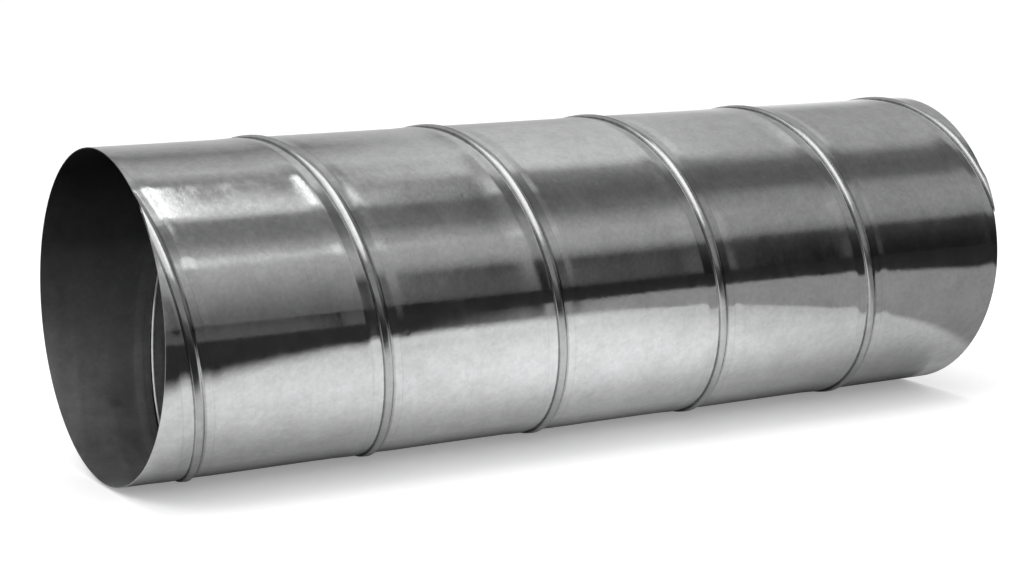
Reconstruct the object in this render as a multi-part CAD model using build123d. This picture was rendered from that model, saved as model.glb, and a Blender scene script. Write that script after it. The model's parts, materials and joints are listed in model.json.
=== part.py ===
from build123d import *
import math
import os

# A short length of spiral-wound round air duct, in millimetres.
# One galvanised steel strip is wound into a helix, and its two edges are folded
# into each other in a four-ply lock seam that stands on the outside. The duct
# lies on its side with its axis along X, its seams on the floor and the seam
# end nearest the viewer at -X. Both ends are cut square, with nothing added.

# Duct
duct_bore = 200.0           # inside diameter, which is its nominal size
duct_length = 610.0         # cut length
seam_start = 46.9           # where the seam meets the -X end, degrees from the top towards -Y

# Strip
strip_width = 137.0         # width of the flat strip before its edges are folded
sheet = 0.5                 # thickness of the steel
bore_allowance = 0.04       # extra steel inside the wall, cut away for a true round bore

# Lock seam
seam_width = 5.2            # from the outer fold to the inner fold
ply_gap = 0.15              # between one ply and the next
ply_end_gap = 0.3           # from the free edge of a fold to the fold around it
joggle_length = 0.9         # along the axis, where the outer ply comes down to the wall

# The strip's visible face is what its three folded plies and its two folds leave.
# One turn of the winding carries the face once around, at the helix angle.
ply = sheet + bore_allowance
fold_rise = 2 * (ply + ply_gap)
face_width = strip_width - 3 * seam_width - 2 * fold_rise
girth = math.pi * (duct_bore + sheet)
helix_angle = math.asin(face_width / girth)
pitch = girth * math.tan(helix_angle)

# Levels of the strip's bore-side face, as distances from the axis.
level_wall = duct_bore / 2 - bore_allowance
level_inner_return = level_wall + 2 * ply + ply_gap
level_outer_return = level_wall + 3 * ply + 2 * ply_gap
level_top = level_wall + 3 * ply + 3 * ply_gap
seam_radius = level_top + ply

# Edges of the seam along the axis, from the middle of the seam.
outer_fold = -seam_width / 2
inner_fold = seam_width / 2


def strip_section():
    """The folded strip, cut by a plane through the axis: radius across, axis up.

    The lower edge hooks over the top of the seam at 0, and the upper edge is
    folded back under the next turn's hook, at one pitch. The line drawn here is
    the face of the sheet that looks into the duct, and the folds are pressed flat.
    """
    with BuildSketch(Plane.XZ) as section:
        with BuildLine():
            Polyline(
                (level_inner_return, inner_fold - ply - ply_end_gap),
                (level_inner_return, outer_fold + ply),
                (level_top, outer_fold + ply),
                (level_top, inner_fold + ply_gap),
                (level_wall, inner_fold + ply_gap + joggle_length),
                (level_wall, pitch + inner_fold),
                (level_outer_return, pitch + inner_fold),
                (level_outer_return, pitch + outer_fold + ply + ply_end_gap),
            )
            offset(amount=ply, side=Side.RIGHT, closed=True, kind=Kind.INTERSECTION)
        make_face()
    return section.sketch.face()


def wound_turn():
    """One turn of the folded strip, with its inside cut to the true bore."""
    turn = sweep(strip_section(), path=Helix(pitch, pitch, duct_bore / 2), is_frenet=True)
    bore = Cylinder(duct_bore / 2, 6 * pitch, rotation=(0, 0, 180))
    return turn - bore


def wind(turn):
    """Turns laid end to end, one pitch apart, and joined into a single strip."""
    first, last = turn.faces().filter_by(GeomType.PLANE).sort_by(Axis.Z)
    skin = turn.faces().filter_by(GeomType.PLANE, reverse=True)
    turns = range(-1, math.ceil(duct_length / pitch))
    faces = [Pos(0, 0, n * pitch) * face for n in turns for face in skin]
    faces.append(Pos(0, 0, turns[0] * pitch) * first)
    faces.append(Pos(0, 0, turns[-1] * pitch) * last)
    return Solid(Shell(faces))


def cut_square(winding):
    """The winding cut off square at both ends."""
    length = Cylinder(
        seam_radius + sheet, duct_length, align=(Align.CENTER, Align.CENTER, Align.MIN)
    )
    return winding & length


def laid_down(duct):
    """The duct on its side, its middle over the origin and its seams on the floor."""
    turned = Rot(0, 0, 180 + seam_start) * duct
    return Pos(-duct_length / 2, 0, seam_radius) * Rot(0, 90, 0) * turned


os.makedirs("parts", exist_ok=True)
spiral_duct = laid_down(cut_square(wind(wound_turn())))
export_step(spiral_duct, "parts/spiral_duct.step")
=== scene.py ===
import json
import math

import bpy
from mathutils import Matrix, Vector


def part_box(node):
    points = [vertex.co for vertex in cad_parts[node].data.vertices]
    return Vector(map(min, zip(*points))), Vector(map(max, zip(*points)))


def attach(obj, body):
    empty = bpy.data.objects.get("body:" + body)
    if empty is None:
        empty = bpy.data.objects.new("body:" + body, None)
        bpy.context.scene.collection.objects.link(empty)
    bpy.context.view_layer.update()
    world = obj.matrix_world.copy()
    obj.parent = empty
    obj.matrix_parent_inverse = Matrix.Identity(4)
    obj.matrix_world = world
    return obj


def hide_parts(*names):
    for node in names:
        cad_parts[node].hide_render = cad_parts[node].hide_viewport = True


# A short length of round air duct, wound from one galvanised steel strip.
# The strip's edges are folded into each other in a lock seam that stands on the
# outside. The duct lies on a pale floor, with the end that shows its bore at -X.
# All sizes are in metres.

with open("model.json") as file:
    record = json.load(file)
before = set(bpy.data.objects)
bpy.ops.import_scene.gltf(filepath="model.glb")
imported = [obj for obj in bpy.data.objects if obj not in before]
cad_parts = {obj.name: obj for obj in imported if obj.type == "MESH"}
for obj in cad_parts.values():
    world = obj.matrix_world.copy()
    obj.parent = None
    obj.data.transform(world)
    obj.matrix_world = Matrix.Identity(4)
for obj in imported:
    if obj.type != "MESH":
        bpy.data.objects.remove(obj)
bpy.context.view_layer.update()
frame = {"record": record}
low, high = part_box("spiral_duct")
mount = frame["record"]["mounts"][0]

# Duct
DUCT_LENGTH = high.x - low.x
BORE_RADIUS = mount["dims"]["r_mm"] / 1000
AXIS_HEIGHT = mount["pos_m"][2]
SEAM_START = math.radians(46.9)     # where the seam meets the -X end, from the top towards -Y

# Strip and lock seam
STRIP_WIDTH = 0.137
SHEET = 0.0005
PLY_STEP = 0.000503                 # from the middle of one ply to the middle of the next
SEAM_WIDTH = 0.0052
SEAM_TOP = 0.00195                  # middle of the outer ply above the bore, where it stands highest
HOOK_BOW = 0.55                     # how far the outer ply bows up on its way to its highest place
PLY_END_GAP = 0.0003
JOGGLE_START = 0.0014               # where the outer ply starts to come down to the wall
JOGGLE_END = 0.0040
INNER_FOLD = 0.0016                 # the fold that the outer ply comes down over

# Relief of the wall beside the seams, as (distance from the seam, height off the true wall).
# On the -X side of each seam the rollers leave a low shoulder, and on its +X side a trough.
SHOULDER = (
    (0.0225, 0.0), (0.0211, 0.00001), (0.0197, 0.00005), (0.0116, 0.00037),
    (0.0106, 0.00039), (0.0097, 0.00038), (0.0040, 0.00005), (0.0, 0.0),
)
TROUGH = (
    (0.0050, 0.0), (0.0092, -0.00008), (0.0102, -0.00008),
    (0.0150, 0.00008), (0.0170, 0.00010), (0.0600, 0.0),
)

# Slow waves that the forming rollers left in the wall, clear of the seams
WALL_WAVE = 0.00022
WAVES_ACROSS = 14.0                 # a metre
WAVES_ALONG = 5.0
WAVE_CLEARANCE = (0.0052, 0.0120)   # from the seam: where the waves begin, and where they are full
RELIEF_CHANGES = 9.0                # a metre, along the strip, where the relief is deeper or shallower

# Fineness of the mesh
STEPS_PER_TURN = 100
FOLD_STEPS = 8                      # around a fold, over the hook and down the joggle
WALL_STEP = 0.0050
FINE_STEP = 0.0011                  # across the strip, near a seam
FINE_REACH = 0.019
LAST_STEP = 0.0012                  # the longest step that is left before the inner fold
TURNS_EARLY = 1.08                  # how much the winding overruns the two cut ends
TURNS_LATE = 0.08
SHARP_ANGLE = math.radians(34)

# The strip's visible face is what its three folded plies and its two folds leave.
FOLD_RISE = 0.00138                 # the width that each fold takes up, as in the solid
GIRTH = math.pi * (2 * BORE_RADIUS + SHEET)
PITCH = GIRTH * math.tan(math.asin((STRIP_WIDTH - 3 * SEAM_WIDTH - 2 * FOLD_RISE) / GIRTH))


# --- Node helpers ---------------------------------------------------------------


def feed(tree, source, socket):
    """Links a source socket, or sets a plain number or colour."""
    if isinstance(source, bpy.types.NodeSocket):
        tree.links.new(source, socket)
    else:
        socket.default_value = source


def node(tree, kind, inputs=None, **settings):
    """A new node with its settings, and its inputs fed by name or place."""
    made = tree.nodes.new(kind)
    for name, value in settings.items():
        setattr(made, name, value)
    for key, source in (inputs or {}).items():
        feed(tree, source, made.inputs[key])
    return made


def sums(tree, operation, *terms):
    """A math node's result."""
    made = tree.nodes.new("ShaderNodeMath")
    made.operation = operation
    for place, term in enumerate(terms):
        feed(tree, term, made.inputs[place])
    return made.outputs[0]


def vector(tree, x, y, z):
    return node(tree, "ShaderNodeCombineXYZ", {0: x, 1: y, 2: z}).outputs[0]


def ranged(tree, value, low_in, high_in, low_out, high_out, smooth=False):
    """A value carried from one range to another, and held at its ends."""
    kind = "SMOOTHSTEP" if smooth else "LINEAR"
    made = node(tree, "ShaderNodeMapRange", interpolation_type=kind)
    for place, term in enumerate((value, low_in, high_in, low_out, high_out)):
        feed(tree, term, made.inputs[place])
    return made.outputs[0]


def mixed(tree, first, second, share):
    """The first value where the share is 0, and the second where it is 1."""
    change = sums(tree, "MULTIPLY", sums(tree, "SUBTRACT", second, first), share)
    return sums(tree, "ADD", change, first)


def noise(tree, where, scale, detail=2.0, roughness=0.5):
    """Cloudy noise, from 0 to 1."""
    inputs = {"Vector": where, "Scale": scale, "Detail": detail, "Roughness": roughness}
    return node(tree, "ShaderNodeTexNoise", inputs).outputs[0]


# --- The folded strip's section ---------------------------------------------------


def bend(path, centre, radius, start, end, steps):
    """Adds an arc to a path, from one angle to another in degrees."""
    for step in range(steps + 1):
        angle = math.radians(start + (end - start) * step / steps)
        path.append((centre[0] + radius * math.cos(angle), centre[1] + radius * math.sin(angle)))


def along_line(points, where):
    """The height of a line through a few points, and nothing beyond them."""
    points = sorted(points)
    for (start, first), (end, last) in zip(points, points[1:]):
        if start <= where <= end:
            return first + (last - first) * (where - start) / (end - start)
    return 0.0


def wall_relief(across):
    """How far the wall stands off its true radius, by its place across the strip."""
    return along_line(TROUGH, across) + along_line(SHOULDER, PITCH - across)


def strip_middle():
    """The middle of the sheet across the strip: along the duct, and height above the bore.

    It runs from the free edge inside this turn's hook, around the outer fold, over
    the top of the seam, down the joggle, along the wall, and back under the next
    turn's hook.
    """
    half = SEAM_WIDTH / 2
    wall = SHEET / 2
    inner_return = wall + PLY_STEP
    outer_return = wall + 2 * PLY_STEP
    low_side = wall + 3 * PLY_STEP
    fold = PLY_STEP
    outer_centre = -half + SHEET / 2 + fold
    inner_centre = INNER_FOLD - SHEET / 2 - fold
    path = [(inner_centre - PLY_END_GAP, inner_return), (0.0, inner_return)]
    bend(path, (outer_centre, inner_return + fold), fold, -90, -270, FOLD_STEPS)
    for step in range(1, FOLD_STEPS):
        share = step / FOLD_STEPS
        across = outer_centre + (JOGGLE_START - outer_centre) * share
        rise = (1 + HOOK_BOW) * share - HOOK_BOW * share * share
        path.append((across, low_side + (SEAM_TOP - low_side) * rise))
    for step in range(FOLD_STEPS + 1):
        share = step / FOLD_STEPS
        drop = 0.5 - 0.5 * math.cos(math.pi * share)
        across = JOGGLE_START + (JOGGLE_END - JOGGLE_START) * share
        path.append((across, SEAM_TOP + (wall - SEAM_TOP) * drop))
    last = PITCH + inner_centre
    while last - across > LAST_STEP:
        from_seam = min(across, PITCH - across)
        across += FINE_STEP if from_seam < FINE_REACH else WALL_STEP
        path.append((across, wall))
    bend(path, (last, wall + fold), fold, -90, 90, FOLD_STEPS)
    path += [(PITCH, outer_return), (PITCH + outer_centre + PLY_END_GAP, outer_return)]
    return path


def strip_outline(path):
    """Both faces of the sheet, joined into one closed loop."""
    faces = []
    for side in (1, -1):
        face = []
        for place, point in enumerate(path):
            before = Vector(path[max(place - 1, 0)])
            after = Vector(path[min(place + 1, len(path) - 1)])
            along = (after - before).normalized() * side * SHEET / 2
            face.append((point[0] - along.y, point[1] + along.x))
        faces.append(face)
    return faces[1] + faces[0][::-1]


def section_mesh():
    """The outline as a loop of edges: X along the duct, Y above the bore, Z the wall's relief."""
    loop = strip_outline(strip_middle())
    mesh = bpy.data.meshes.new("strip section")
    edges = [(place, (place + 1) % len(loop)) for place in range(len(loop))]
    mesh.from_pydata([(across, above, wall_relief(across)) for across, above in loop], edges, [])
    return mesh


# --- The winding --------------------------------------------------------------------

DUCT_SIZES = {
    "Bore Radius": BORE_RADIUS,
    "Pitch": PITCH,
    "Length": DUCT_LENGTH,
    "Seam Start": SEAM_START,
    "Axis Height": AXIS_HEIGHT,
    "Wall Wave": WALL_WAVE,
    "Steps Per Turn": STEPS_PER_TURN,
}


def wound_duct_tree(steel):
    """Sweeps the strip's section along a straight path, rolls it up, and cuts the ends square."""
    tree = bpy.data.node_groups.new("wound duct", "GeometryNodeTree")
    tree.interface.new_socket("Strip Section", in_out="INPUT", socket_type="NodeSocketGeometry")
    for name in DUCT_SIZES:
        kind = "NodeSocketInt" if name == "Steps Per Turn" else "NodeSocketFloat"
        tree.interface.new_socket(name, in_out="INPUT", socket_type=kind)
    tree.interface.new_socket("Duct", in_out="OUTPUT", socket_type="NodeSocketGeometry")
    size = tree.nodes.new("NodeGroupInput").outputs

    # The section remembers where each of its points lies across the strip.
    section = node(tree, "GeometryNodeMeshToCurve", {"Mesh": size["Strip Section"]})
    place = node(tree, "ShaderNodeSeparateXYZ", {0: node(tree, "GeometryNodeInputPosition").outputs[0]})
    marked = node(tree, "GeometryNodeCaptureAttribute", {"Geometry": section.outputs[0]})
    for name, axis in (("Across", "X"), ("Above", "Y"), ("Relief", "Z")):
        marked.capture_items.new("FLOAT", name)
        feed(tree, place.outputs[axis], marked.inputs[name])

    # The path stands for the turns: it starts a turn early and ends a little late.
    turns = sums(tree, "ADD", sums(tree, "DIVIDE", size["Length"], size["Pitch"]), TURNS_LATE + TURNS_EARLY)
    steps = sums(tree, "CEIL", sums(tree, "MULTIPLY", turns, size["Steps Per Turn"]))
    line = node(tree, "GeometryNodeCurvePrimitiveLine", {"End": (0.0, 0.0, 1.0)})
    path = node(tree, "GeometryNodeResampleCurve", {"Curve": line.outputs[0], "Count": steps})
    factor = node(tree, "GeometryNodeSplineParameter").outputs["Factor"]
    turn = sums(tree, "ADD", sums(tree, "MULTIPLY", factor, turns), -TURNS_EARLY)
    wound = node(tree, "GeometryNodeCaptureAttribute", {"Geometry": path.outputs[0]})
    wound.capture_items.new("FLOAT", "Turn")
    feed(tree, turn, wound.inputs["Turn"])
    ribbon = node(
        tree,
        "GeometryNodeCurveToMesh",
        {"Curve": wound.outputs[0], "Profile Curve": marked.outputs[0], "Fill Caps": True},
    )
    across = marked.outputs["Across"]
    above = marked.outputs["Above"]
    turned = wound.outputs["Turn"]

    # Beside the seams the wall has its relief, which is deeper in some places, and between them
    # it waves a little. The two patterns are cut from the noise at different heights.
    from_seam = sums(tree, "MINIMUM", across, sums(tree, "SUBTRACT", size["Pitch"], across))
    clear = ranged(tree, from_seam, *WAVE_CLEARANCE, 0.0, 1.0, smooth=True)
    angle = sums(tree, "MULTIPLY", turned, 2 * math.pi)
    along = sums(tree, "MULTIPLY", angle, size["Bore Radius"])
    waves = sums(tree, "MULTIPLY", across, WAVES_ACROSS), sums(tree, "MULTIPLY", along, WAVES_ALONG)
    rolled = noise(tree, vector(tree, *waves, 3.7), 1.0, roughness=0.45)
    wave = sums(tree, "MULTIPLY", sums(tree, "SUBTRACT", rolled, 0.5), size["Wall Wave"])
    deeper = noise(tree, vector(tree, 0.0, along, 8.1), RELIEF_CHANGES, detail=1.0)
    pressed = sums(tree, "MULTIPLY", marked.outputs["Relief"], sums(tree, "ADD", deeper, 0.5))
    relief = sums(tree, "ADD", sums(tree, "MULTIPLY", wave, clear), pressed)

    radius = sums(tree, "ADD", sums(tree, "ADD", size["Bore Radius"], above), relief)
    around = sums(tree, "ADD", angle, size["Seam Start"])
    start = sums(tree, "MULTIPLY", size["Length"], -0.5)
    x = sums(tree, "ADD", sums(tree, "ADD", across, start), sums(tree, "MULTIPLY", turned, size["Pitch"]))
    y = sums(tree, "MULTIPLY", sums(tree, "MULTIPLY", radius, sums(tree, "SINE", around)), -1.0)
    z = sums(tree, "ADD", sums(tree, "MULTIPLY", radius, sums(tree, "COSINE", around)), size["Axis Height"])
    rolled_up = node(
        tree, "GeometryNodeSetPosition", {"Geometry": ribbon.outputs[0], "Position": vector(tree, x, y, z)}
    )
    strip_place = node(
        tree,
        "GeometryNodeStoreNamedAttribute",
        {"Geometry": rolled_up.outputs[0], "Name": "strip", "Value": vector(tree, across, along, above)},
        data_type="FLOAT_VECTOR",
        domain="CORNER",
    )

    # The ends are cut square by a box as long as the duct and a good deal wider.
    width = sums(tree, "MULTIPLY", size["Bore Radius"], 2.6)
    block = node(tree, "GeometryNodeMeshCube", {"Size": vector(tree, size["Length"], width, width)})
    block = node(
        tree,
        "GeometryNodeTransform",
        {"Geometry": block.outputs[0], "Translation": vector(tree, 0.0, 0.0, size["Axis Height"])},
    )
    cut = node(tree, "GeometryNodeMeshBoolean", operation="INTERSECT", solver="MANIFOLD")
    tree.links.new(strip_place.outputs[0], cut.inputs["Mesh 2"])
    tree.links.new(block.outputs[0], cut.inputs["Mesh 2"])

    smooth = node(tree, "GeometryNodeSetShadeSmooth", {"Geometry": cut.outputs[0]}, domain="FACE")
    corner = node(tree, "GeometryNodeInputMeshEdgeAngle").outputs["Unsigned Angle"]
    sharp = node(tree, "FunctionNodeCompare", {0: corner, 1: SHARP_ANGLE}, operation="GREATER_THAN")
    edges = node(
        tree,
        "GeometryNodeSetShadeSmooth",
        {"Geometry": smooth.outputs[0], "Selection": sharp.outputs[0], "Shade Smooth": False},
        domain="EDGE",
    )
    real = node(tree, "GeometryNodeRealizeInstances", {"Geometry": edges.outputs[0]})
    finished = node(tree, "GeometryNodeSetMaterial", {"Geometry": real.outputs[0], "Material": steel})
    node(tree, "NodeGroupOutput", {"Duct": finished.outputs[0]})
    return tree


def wound_duct(steel):
    """The duct as a plain mesh, made by the tree from the strip's section."""
    shape = bpy.data.objects.new("strip section", section_mesh())
    bpy.context.scene.collection.objects.link(shape)
    winding = shape.modifiers.new("winding", "NODES")
    winding.node_group = wound_duct_tree(steel)
    for item in winding.node_group.interface.items_tree:
        if item.in_out == "INPUT" and item.name in DUCT_SIZES:
            winding[item.identifier] = DUCT_SIZES[item.name]
    bpy.context.view_layer.update()
    mesh = bpy.data.meshes.new_from_object(shape.evaluated_get(bpy.context.evaluated_depsgraph_get()))
    bpy.data.objects.remove(shape)
    mesh.name = "wound_strip"
    duct = bpy.data.objects.new("wound_strip", mesh)
    bpy.context.scene.collection.objects.link(duct)
    return duct


# --- Galvanised steel --------------------------------------------------------------

ZINC = 0.62                         # grey of the clean zinc
POLISH = 0.078                      # its roughness
BRUSHED = 0.25                      # how far the rolling drew out its reflections
BORE_ROUGHER = 0.36                 # added in the bore and on the cut edges
# the bore side's grey, darkened as painted shade, and the bare cut edges' grey
BORE_SHADE_AND_BARE_EDGE_DARKER = 0.75
SEAM_ROUGHER = 0.105                # added where the rollers rubbed the seam
SEAM_DARKER = 0.72
RUB_ENDS = (0.0028, 0.0040)         # from the middle of the seam
# painted shade in the corners beside the seam
CREVICE_SHADE_DARKER = 0.72
LINE_DARKER = 0.86

# Lines along the seam, as (distance from its middle, width, strength). The first two are painted shade in its
# corners.
CREVICE_SHADE_AFTER = (0.0041, 0.0012, 1.6)
CREVICE_SHADE_BEFORE = (0.0029, 0.0006, 0.5)
ROLLER_LINE = (0.0098, 0.0005, 1.0)

DINGS = 34.0                        # a metre
DING_SIZE = 0.11                    # as a share of the distance between them

# Depth of the patterns that only the finish shows
GRAIN_DEPTH = 0.000006
FLAKE_DEPTH = 0.0000015
STREAK_DEPTH = 0.0000015
PATCH_DEPTH = 0.000014
CLOUD_DEPTH = 0.000075
DING_DEPTH = 0.000028
SEAM_CROWN = 0.00080                # how much more the top of the seam leans and bows

# Painted light and shade on the bore's grey, as (from, to, factor at the first, factor at the second).
PAINTED_BORE_SHADE_LOW = (0.06, 0.135, 1.1, 0.28)         # by height above the floor
PAINTED_BORE_SHADE_HIGH = (0.125, 0.185, 1.0, 0.2)
PAINTED_BORE_SHADE_ENDS = (0.215, 0.295, 1.6, 1.0)        # by distance from the middle of the duct


def stretched(tree, where, x, y, z):
    """Coordinates scaled each way, so that a pattern is drawn out along the small ones."""
    return node(tree, "ShaderNodeMapping", {"Vector": where, "Scale": (x, y, z)}).outputs[0]


def varied(tree, pattern, low, high):
    """A change from low to high that follows the middle of a pattern's range."""
    return ranged(tree, pattern, 0.3, 0.7, low, high)


def near_line(tree, across, line):
    """The line's strength on the line, and 0 past its width on both sides."""
    where, width, strength = line
    away = sums(tree, "ABSOLUTE", sums(tree, "SUBTRACT", across, where))
    return ranged(tree, away, 0.0, width, strength, 0.0)


def galvanised_steel():
    """Bright zinc-coated sheet: fine spangle, roll streaks along the strip and small rubs."""
    material = bpy.data.materials.new("galvanised_steel")
    material.use_nodes = True
    tree = material.node_tree
    tree.nodes.clear()
    here = node(tree, "ShaderNodeTexCoord").outputs["Object"]
    strip = node(tree, "ShaderNodeAttribute", attribute_name="strip").outputs["Vector"]

    grain = noise(tree, here, 900.0, detail=3.0, roughness=0.65)
    spangle = node(tree, "ShaderNodeTexVoronoi", {"Vector": here, "Scale": 420.0})
    flakes = node(tree, "ShaderNodeSeparateColor", {0: spangle.outputs["Color"]}).outputs[0]
    cloud = noise(tree, here, 38.0, detail=4.0, roughness=0.6)
    patches = noise(tree, here, 130.0, detail=3.0, roughness=0.6)
    streaks = noise(tree, stretched(tree, strip, 900.0, 14.0, 1.0), 1.0, detail=3.0, roughness=0.6)
    bands = noise(tree, stretched(tree, strip, 150.0, 3.0, 1.0), 1.0)

    tone = sums(tree, "ADD", varied(tree, cloud, -0.045, 0.045), ZINC)
    tone = sums(tree, "ADD", tone, ranged(tree, flakes, 0.0, 1.0, -0.03, 0.03))
    tone = sums(tree, "ADD", tone, varied(tree, streaks, -0.012, 0.012))
    tone = sums(tree, "ADD", tone, varied(tree, patches, -0.03, 0.03))

    rough = sums(tree, "ADD", varied(tree, cloud, -0.02, 0.03), POLISH)
    rough = sums(tree, "ADD", rough, varied(tree, patches, -0.02, 0.02))
    rough = sums(tree, "ADD", rough, varied(tree, bands, -0.015, 0.02))

    # The bore side is duller than the outside, and its grey is darkened as painted shade inside the bore. The
    # cut edges are bare, dull and darker.
    place = node(tree, "ShaderNodeSeparateXYZ", {0: strip}).outputs
    across, above = place["X"], place["Z"]
    bore_side = ranged(tree, above, SHEET * 0.4, SHEET * 0.6, 1.0, 0.0)
    normal = node(tree, "ShaderNodeNewGeometry").outputs["True Normal"]
    facing = node(tree, "ShaderNodeSeparateXYZ", {0: normal}).outputs
    cut_edge = ranged(tree, sums(tree, "ABSOLUTE", facing["X"]), 0.97, 0.99, 0.0, 1.0)
    dull = sums(tree, "MAXIMUM", bore_side, cut_edge)
    rough = sums(tree, "ADD", rough, sums(tree, "MULTIPLY", dull, BORE_ROUGHER))
    tone = sums(tree, "MULTIPLY", tone, ranged(tree, dull, 0.0, 1.0, 1.0, BORE_SHADE_AND_BARE_EDGE_DARKER))

    # Painted light and shade: the bore's grey is paler along its bottom and away from its ends, and darker
    # towards its top.
    spot = node(tree, "ShaderNodeSeparateXYZ", {0: here}).outputs
    painted_bore_shade = sums(tree, "MULTIPLY", ranged(tree, spot["Z"], *PAINTED_BORE_SHADE_LOW), ranged(tree, spot["Z"], *PAINTED_BORE_SHADE_HIGH))
    painted_bore_shade = sums(tree, "MULTIPLY", painted_bore_shade, ranged(tree, sums(tree, "ABSOLUTE", spot["X"]), *PAINTED_BORE_SHADE_ENDS))
    tone = sums(tree, "MULTIPLY", tone, mixed(tree, 1.0, painted_bore_shade, bore_side))

    # The seam was rubbed dull by the rollers, and painted shade darkens the corner on either side of it.
    from_next = sums(tree, "SUBTRACT", PITCH, across)
    crevice_shade = sums(
        tree, "MAXIMUM", near_line(tree, across, CREVICE_SHADE_AFTER), near_line(tree, from_next, CREVICE_SHADE_BEFORE)
    )
    rubbed = ranged(tree, across, *RUB_ENDS, SEAM_DARKER, 1.0)
    rubbed = sums(tree, "MAXIMUM", rubbed, bore_side)
    tone = sums(tree, "MULTIPLY", tone, rubbed)
    rough = sums(tree, "ADD", rough, ranged(tree, rubbed, SEAM_DARKER, 1.0, SEAM_ROUGHER, 0.0))
    tone = sums(tree, "MULTIPLY", tone, ranged(tree, crevice_shade, 0.0, 1.0, 1.0, CREVICE_SHADE_DARKER))

    # The forming rollers left a fine line on either side of the seam, and handling left a few dings.
    on_line = near_line(tree, sums(tree, "MINIMUM", across, from_next), ROLLER_LINE)
    tone = sums(tree, "MULTIPLY", tone, mixed(tree, 1.0, LINE_DARKER, on_line))
    dings = node(tree, "ShaderNodeTexVoronoi", {"Vector": here, "Scale": DINGS}).outputs["Distance"]
    ding = ranged(tree, dings, 0.0, DING_SIZE, 1.0, 0.0, smooth=True)
    colour = node(
        tree,
        "ShaderNodeCombineColor",
        {0: tone, 1: sums(tree, "MULTIPLY", tone, 1.004), 2: sums(tree, "MULTIPLY", tone, 1.012)},
    )

    on_seam = ranged(tree, across, -SEAM_WIDTH / 2, SEAM_WIDTH / 2, 1.0, 0.0)
    bowed = sums(tree, "SUBTRACT", 1.0, sums(tree, "MULTIPLY", on_seam, on_seam))
    height = sums(tree, "MULTIPLY", grain, GRAIN_DEPTH)
    for pattern, depth in (
        (flakes, FLAKE_DEPTH), (streaks, STREAK_DEPTH), (patches, PATCH_DEPTH), (cloud, CLOUD_DEPTH),
        (bowed, SEAM_CROWN), (ding, -DING_DEPTH),
    ):
        height = sums(tree, "ADD", height, sums(tree, "MULTIPLY", pattern, depth))
    bumps = node(tree, "ShaderNodeBump", {"Strength": 1.0, "Distance": 1.0, "Height": height})

    surface = node(
        tree,
        "ShaderNodeBsdfPrincipled",
        {
            "Base Color": colour.outputs[0],
            "Metallic": 1.0,
            "Roughness": rough,
            "Normal": bumps.outputs[0],
            "Anisotropic": ranged(tree, dull, 0.0, 1.0, BRUSHED, 0.0),
            "Tangent": vector(tree, 1.0, 0.0, 0.0),
        },
    )
    node(tree, "ShaderNodeOutputMaterial", {"Surface": surface.outputs[0]})
    return material


# --- Floor, studio and camera --------------------------------------------------------

# The floor as the metal sees it: a table in a painted pool of light, with floor painted dark around it. An edge
# is given as (slope, place, softness). It lies where one coordinate, plus the slope times the other, comes
# to the place, and a negative softness turns it round.
TABLE_CORNER = (0.60, -0.343, 0.034)        # y + slope * x
TABLE_FRONT = (0.0, -0.341, 0.050)
TABLE_RIGHT = (-0.58, 0.378, -0.008)        # x + slope * y
AISLE_SIDE = (1.245, -0.27, 0.12)           # y + slope * x
AISLE_FRONT = (0.0, -0.64, 0.06)
AISLE_RIGHT = (0.0, 0.55, -0.04)            # x
PATCH_RIGHT = (0.48, -0.235, -0.03)         # x + slope * y
PATCH_BACK = (0.0, -0.62, -0.06)            # y
BEHIND_DUCT = (0.0, 0.1, 0.05)              # y, past which all of the floor is pale
# Painted light and shade: the levels of the floor outside the table, as the metal sees it
DARK_FLOOR = 0.030
PATCH_FLOOR = 0.11
AISLE_FLOOR = 0.33

# Painted light and shade on the table as the metal sees it: (from, to, share at the first, share at the
# second).
PAINTED_SHADOW_BY_DUCT = (0.012, 0.045, 0.40, 1.18)    # by distance from the duct's line on the floor
PAINTED_LIGHT_ASIDE = (0.105, 0.24, 1.0, 0.70)
PAINTED_LIGHT_NEAR_END = (-0.28, 0.0, 0.78, 1.0)      # along the duct
PAINTED_LIGHT_FAR_END = (0.08, 0.34, 1.03, 0.48)

PAINT = 0.86                                # grey of the floor
PAINT_GLOW = 0.26                           # lifts it to white for the camera
METAL_GLOW = 0.04                           # and a little, as painted light, in the metal


def edge(tree, value, where, softness):
    """0 on one side of an edge and 1 on the other. A negative softness turns it round."""
    if softness < 0:
        return ranged(tree, value, where + softness, where - softness, 1.0, 0.0, smooth=True)
    return ranged(tree, value, where - softness, where + softness, 0.0, 1.0, smooth=True)


def slanted(tree, first, second, line):
    """A soft edge along a line on the floor."""
    slope, where, softness = line
    return edge(tree, sums(tree, "ADD", first, sums(tree, "MULTIPLY", second, slope)), where, softness)


def seen_rays(tree):
    """1 for rays from the camera or through glass, and 1 for rays off metal."""
    path = node(tree, "ShaderNodeLightPath").outputs
    return sums(tree, "MAXIMUM", path["Is Camera Ray"], path["Is Transmission Ray"]), path["Is Glossy Ray"]


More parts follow.
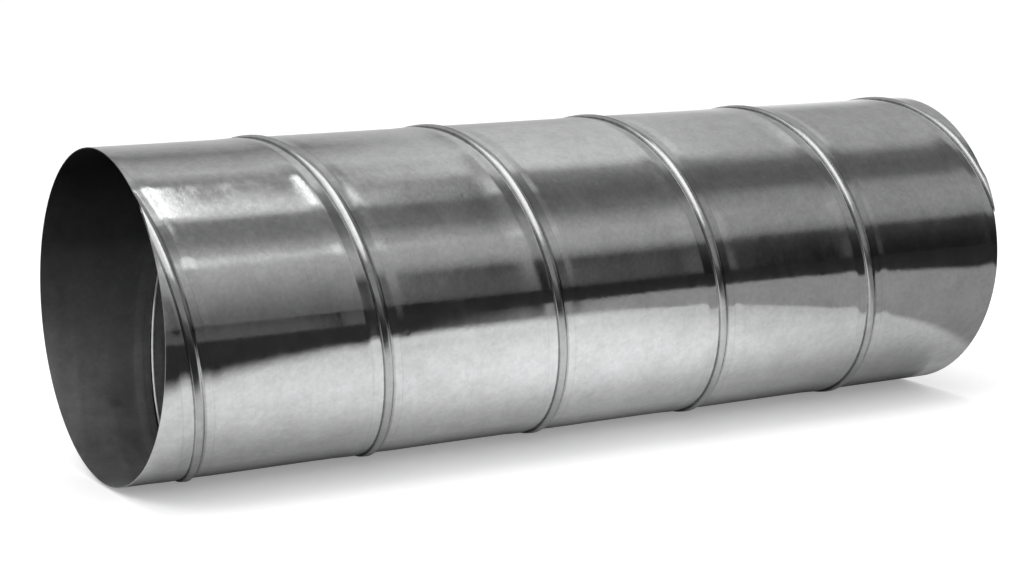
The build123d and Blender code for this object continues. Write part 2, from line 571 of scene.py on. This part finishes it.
def floor_material():
    """A white floor that keeps the shadow. The metal sees it as a table with painted light and shade, and dark
    floor beyond its edge.
    """
    material = bpy.data.materials.new("pale_floor")
    material.use_nodes = True
    tree = material.node_tree
    tree.nodes.clear()
    straight, glossy = seen_rays(tree)
    place = node(tree, "ShaderNodeSeparateXYZ", {0: node(tree, "ShaderNodeTexCoord").outputs["Object"]}).outputs

    # The table, a paler aisle to the right of it, and a paler patch of floor farther to the front.
    x, y = place["X"], place["Y"]
    table = sums(tree, "MULTIPLY", slanted(tree, y, x, TABLE_CORNER), slanted(tree, y, x, TABLE_FRONT))
    table = sums(tree, "MULTIPLY", table, slanted(tree, x, y, TABLE_RIGHT))
    aisle = sums(tree, "MULTIPLY", slanted(tree, x, y, AISLE_RIGHT), slanted(tree, y, x, AISLE_FRONT))
    aisle = sums(tree, "MULTIPLY", slanted(tree, y, x, AISLE_SIDE), aisle)
    patch = sums(tree, "MULTIPLY", slanted(tree, x, y, PATCH_RIGHT), slanted(tree, y, x, PATCH_BACK))
    outside = mixed(tree, mixed(tree, DARK_FLOOR, PATCH_FLOOR, patch), AISLE_FLOOR, aisle)

    # Painted light and shade: the table is painted brightest a little aside of the duct, darkest close to it as
    # the duct's painted shadow, and dark beyond its far end.
    aside = sums(tree, "ABSOLUTE", y)
    painted_light = sums(tree, "MULTIPLY", ranged(tree, aside, *PAINTED_SHADOW_BY_DUCT), ranged(tree, aside, *PAINTED_LIGHT_ASIDE))
    painted_light = sums(tree, "MULTIPLY", painted_light, ranged(tree, x, *PAINTED_LIGHT_NEAR_END))
    painted_light = sums(tree, "MULTIPLY", painted_light, ranged(tree, x, *PAINTED_LIGHT_FAR_END))
    in_metal = sums(tree, "MAXIMUM", mixed(tree, outside, painted_light, table), slanted(tree, y, x, BEHIND_DUCT))
    shade = mixed(tree, 1.0, in_metal, glossy)

    paint = sums(tree, "MULTIPLY", shade, PAINT)
    diffuse = node(tree, "ShaderNodeBsdfDiffuse", {0: vector(tree, paint, paint, paint)})
    metal_glow = sums(tree, "MULTIPLY", sums(tree, "MULTIPLY", glossy, in_metal), METAL_GLOW)
    glow = sums(tree, "ADD", sums(tree, "MULTIPLY", straight, PAINT_GLOW), metal_glow)
    glowing = node(tree, "ShaderNodeEmission", {"Strength": glow})
    both = node(tree, "ShaderNodeAddShader", {0: diffuse.outputs[0], 1: glowing.outputs[0]})
    node(tree, "ShaderNodeOutputMaterial", {"Surface": both.outputs[0]})
    return material


def floor():
    """A square of level floor, far larger than what the camera sees."""
    mesh = bpy.data.meshes.new("floor")
    reach = 6.0
    corners = [(-reach, -reach, 0), (reach, -reach, 0), (reach, reach, 0), (-reach, reach, 0)]
    mesh.from_pydata(corners, [], [(0, 1, 2, 3)])
    mesh.materials.append(floor_material())
    plane = bpy.data.objects.new("floor", mesh)
    bpy.context.scene.collection.objects.link(plane)


# Brightness of the studio around the duct's axis, as a share of white, in the parts that the
# near end, the middle and the far end reflect. Each pair is an angle in degrees, from straight
# up towards the viewer's side, and a level. Only the metal sees them. They were set one by one,
# until the bands on the duct looked as they do in the photograph.
STUDIO_NEAR = (
    (-90, 0.78), (-70, 0.66), (-60, 0.53), (-50, 0.36), (-38, 0.58), (-26, 0.77), (-16, 0.46), (-8, 0.44),
    (-2, 0.56), (8, 1.04), (15, 1.02), (20, 0.34), (28, 0.30), (36, 0.34), (45, 0.66), (49, 0.98), (53, 0.70),
    (62, 0.57), (74, 0.38), (86, 0.22), (96, 0.18),
)
STUDIO_MIDDLE = (
    (-90, 0.70), (-72, 0.70), (-60, 0.82), (-40, 0.88), (-24, 0.97), (-10, 1.02), (-5, 0.80), (0, 0.40),
    (10, 0.24), (22, 0.18), (34, 0.24), (42, 0.46), (50, 0.62), (61, 0.56), (67, 0.34), (71, 0.10), (80, 0.14),
    (88, 0.14), (92, 0.03),
)
STUDIO_FAR = (
    (-90, 1.15), (-80, 0.95), (-70, 0.70), (-60, 0.54), (-46, 0.58), (-24, 0.60), (-8, 0.61), (-2, 0.50),
    (6, 0.22), (16, 0.17), (26, 0.20), (33, 0.42), (44, 0.48), (56, 0.44), (64, 0.32), (68, 0.07), (78, 0.035),
    (86, 0.02), (91, 0.02),
)
NEAR_TO_MIDDLE = (0.43, 0.50)       # by how far a reflected ray points along the duct
MIDDLE_TO_FAR = (0.54, 0.61)
SOFT_LIGHT = 1.10                   # even light from all around, as a share of white

# Lit boxes that only the metal sees, as (angles, reach along the duct, brightness). The big
# softbox is on the left. Its edge bows in, away from its middle, and it fades to the left.
LEFT_END = -0.94                    # how far a reflected ray points along the duct, to the left
SOFTBOX_REACH = 0.305
SOFTBOX_SPAN = (-26, 66)
SOFTBOX_MIDDLE = 20
SOFTBOX_BOW = (1.5, 0.20)           # a share of the angle from the middle, and of its square
SOFTBOX_FADING = (-0.12, 0.06, 1.7, 2.8)
OTHER_BOXES = (
    ((42, 56), (0.30, 0.388), 1.45),                # a strip light beside the softbox
    ((46, 104), (LEFT_END, SOFTBOX_REACH), 0.50),   # below the softbox
    ((-110, -20), (LEFT_END, SOFTBOX_REACH), 0.75), # behind it
    ((-15, 18), (0.32, 0.382), 3.0),                # a bright corner above it
)
BOX_EDGE = 0.012                    # softness of a box's ends, along the duct
BOX_SIDE = 0.09                     # and of its sides, in radians


def studio_side(tree, angle, levels):
    """The brightness at an angle, from a short list of angles and levels."""
    ramp = node(tree, "ShaderNodeValToRGB", {0: ranged(tree, angle, -math.pi, math.pi, 0.0, 1.0)})
    stops = ramp.color_ramp.elements
    while len(stops) < len(levels):
        stops.new(0.5)
    for stop, (degrees, level) in zip(stops, levels):
        stop.position = (degrees + 180) / 360
        stop.color = (level, level, level, 1.0)
    return node(tree, "ShaderNodeRGBToBW", {0: ramp.outputs[0]}).outputs[0]


def between(tree, angle, span):
    """1 between two angles in degrees, and softly 0 beyond them."""
    first, last = (math.radians(degrees) for degrees in span)
    rise = ranged(tree, angle, first, first + BOX_SIDE, 0.0, 1.0, smooth=True)
    return sums(tree, "MULTIPLY", rise, ranged(tree, angle, last - BOX_SIDE, last, 1.0, 0.0, smooth=True))


def lit_box(tree, along, angle, span, reach, brightness):
    """A lit box in the studio: its span of angles, its reach along the duct and its brightness."""
    past_first, past_last = (sums(tree, "SUBTRACT", along, end) for end in reach)
    first = ranged(tree, past_first, -BOX_EDGE, BOX_EDGE, 0.0, 1.0, smooth=True)
    last = ranged(tree, past_last, -BOX_EDGE, BOX_EDGE, 1.0, 0.0, smooth=True)
    inside = sums(tree, "MULTIPLY", sums(tree, "MULTIPLY", first, last), between(tree, angle, span))
    return sums(tree, "MULTIPLY", inside, brightness)


def studio():
    """White for the camera, an even soft light, and for the metal a studio with dark and light parts."""
    world = bpy.data.worlds.new("studio")
    world.use_nodes = True
    tree = world.node_tree
    tree.nodes.clear()
    direction = node(tree, "ShaderNodeTexCoord").outputs["Generated"]
    way = node(tree, "ShaderNodeSeparateXYZ", {0: direction}).outputs
    along = way["X"]
    angle = sums(tree, "ARCTAN2", sums(tree, "MULTIPLY", way["Y"], -1.0), way["Z"])
    near = studio_side(tree, angle, STUDIO_NEAR)
    middle = studio_side(tree, angle, STUDIO_MIDDLE)
    far = studio_side(tree, angle, STUDIO_FAR)
    level = mixed(tree, near, middle, ranged(tree, along, *NEAR_TO_MIDDLE, 0.0, 1.0))
    level = mixed(tree, level, far, ranged(tree, along, *MIDDLE_TO_FAR, 0.0, 1.0))

    share, depth = SOFTBOX_BOW
    bow = sums(tree, "MULTIPLY", sums(tree, "SUBTRACT", angle, math.radians(SOFTBOX_MIDDLE)), share)
    bowed_in = sums(tree, "MULTIPLY", sums(tree, "MULTIPLY", bow, bow), depth)
    reach = sums(tree, "SUBTRACT", SOFTBOX_REACH, bowed_in)
    softbox = (SOFTBOX_SPAN, (LEFT_END, reach), ranged(tree, along, *SOFTBOX_FADING))
    for span, reach, brightness in (softbox, *OTHER_BOXES):
        level = sums(tree, "MAXIMUM", level, lit_box(tree, along, angle, span, reach, brightness))
    straight, glossy = seen_rays(tree)
    light = mixed(tree, mixed(tree, SOFT_LIGHT, level, glossy), 1.0, straight)
    background = node(tree, "ShaderNodeBackground", {"Strength": light})
    node(tree, "ShaderNodeOutputWorld", {"Surface": background.outputs[0]})
    bpy.context.scene.world = world


def soft_lamp(name, place, aim, size, power):
    """A large soft lamp that lights the floor and is left out of the metal's reflections."""
    lamp = bpy.data.lights.new(name, "AREA")
    lamp.shape = "RECTANGLE"
    lamp.size = size[0]
    lamp.size_y = size[1]
    lamp.energy = power
    hung = bpy.data.objects.new(name, lamp)
    hung.location = place
    hung.rotation_euler = (Vector(aim) - Vector(place)).to_track_quat("-Z", "Y").to_euler()
    hung.visible_glossy = False
    bpy.context.scene.collection.objects.link(hung)


def camera():
    """Beside and above the open end, at the place that was fitted to the photograph's outlines."""
    aim = Vector((-0.0217, 0.0, 0.0951))
    azimuth = math.radians(30.97)
    elevation = math.radians(9.94)
    distance = 1.5207
    level = math.cos(elevation)
    towards = Vector((-math.sin(azimuth) * level, -math.cos(azimuth) * level, math.sin(elevation)))
    lens = bpy.data.cameras.new("camera")
    lens.lens = 82.23
    lens.sensor_width = 36.0
    eye = bpy.data.objects.new("camera", lens)
    eye.location = aim + towards * distance
    eye.rotation_euler = (-towards).to_track_quat("-Z", "Y").to_euler()
    bpy.context.scene.collection.objects.link(eye)
    bpy.context.scene.camera = eye


# --- The scene ------------------------------------------------------------------------

camera()
floor()
studio()
soft_lamp("left softbox", (-1.3, -0.5, 1.5), (-0.25, 0.0, 0.05), (1.0, 0.8), 9.0)
soft_lamp("overhead softbox", (0.0, -0.1, 1.6), (0.0, 0.0, 0.0), (1.3, 0.9), 9.0)
bpy.context.scene.view_settings.view_transform = "Standard"

duct = wound_duct(galvanised_steel())
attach(duct, "root")
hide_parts("spiral_duct")
